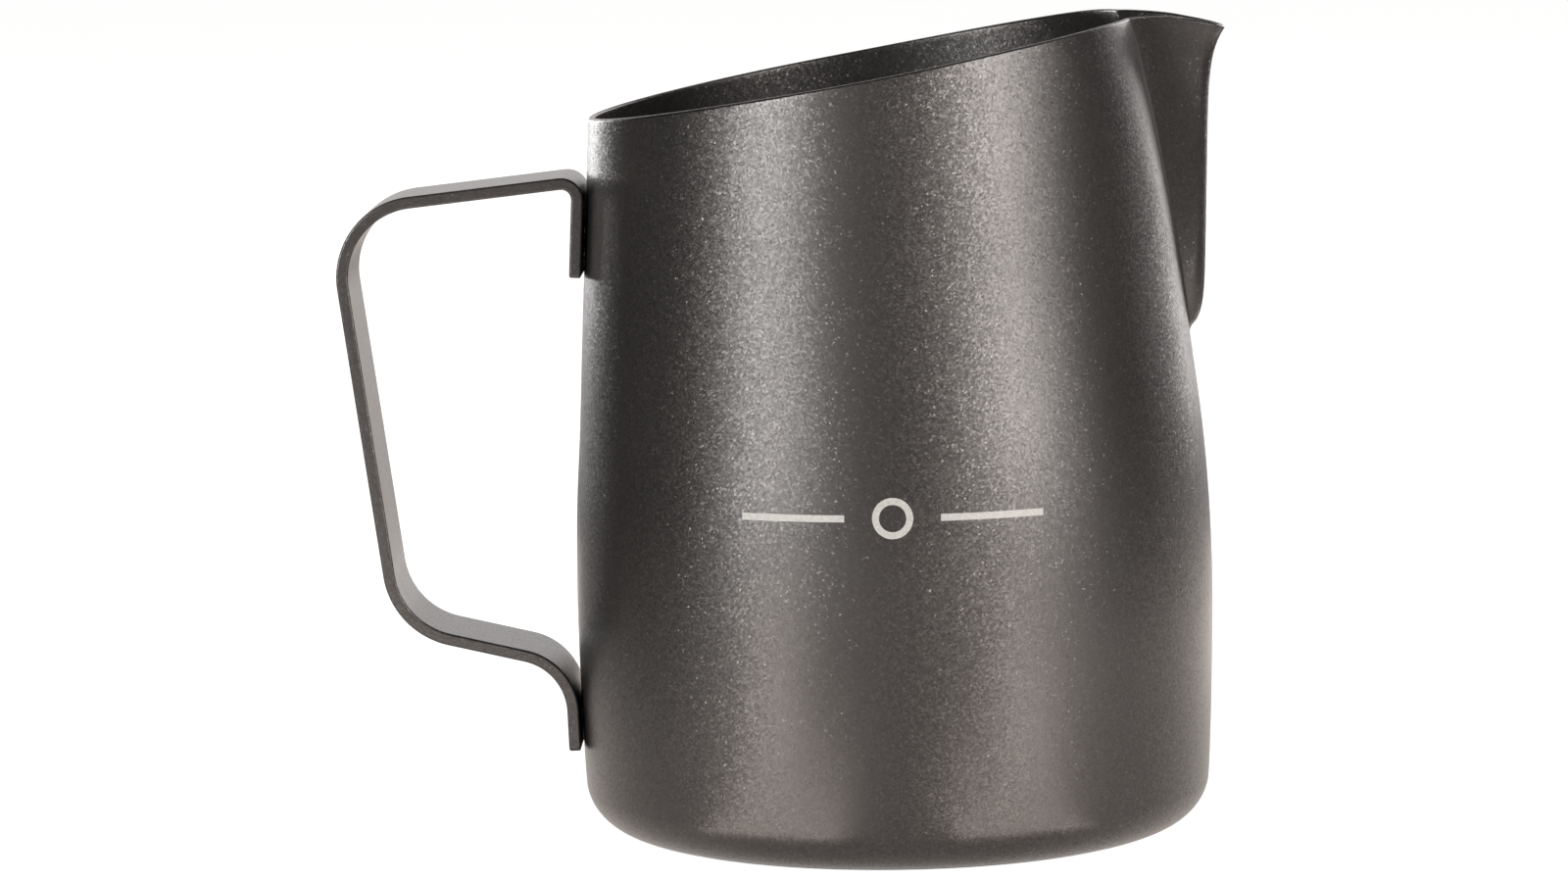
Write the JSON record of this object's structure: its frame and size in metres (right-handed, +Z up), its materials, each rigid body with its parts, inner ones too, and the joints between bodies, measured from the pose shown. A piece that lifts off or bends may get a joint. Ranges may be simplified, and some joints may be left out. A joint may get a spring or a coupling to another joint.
{
  "type": "milk frothing pitcher",
  "caption": "Dark powder-coated steel milk pitcher: waisted round vessel, slanted rim, sharp V pouring spout and a bent flat strap handle welded on at both ends.",
  "frame": {"origin": "centre of the flat base, on the surface it stands on", "axes": "+Z up, +X towards the pouring spout, -X towards the handle, Y across; the object is symmetric about the plane Y = 0"},
  "size_m": [0.1196, 0.086, 0.109],
  "materials": {
    "coat": "satin charcoal powder coat with fine metal flake",
    "weld": "bare fused steel, hidden between the handle's tabs and the wall",
    "print": "matt pale grey print on the coat"
  },
  "bodies": {
    "root": {"vessel": "coat", "spout": "coat", "spout_weld_seam": "coat", "handle_strap": "coat", "lower_handle_welds": "weld", "upper_handle_welds": "weld", "front_print": "print"}
  },
  "joints": []
}
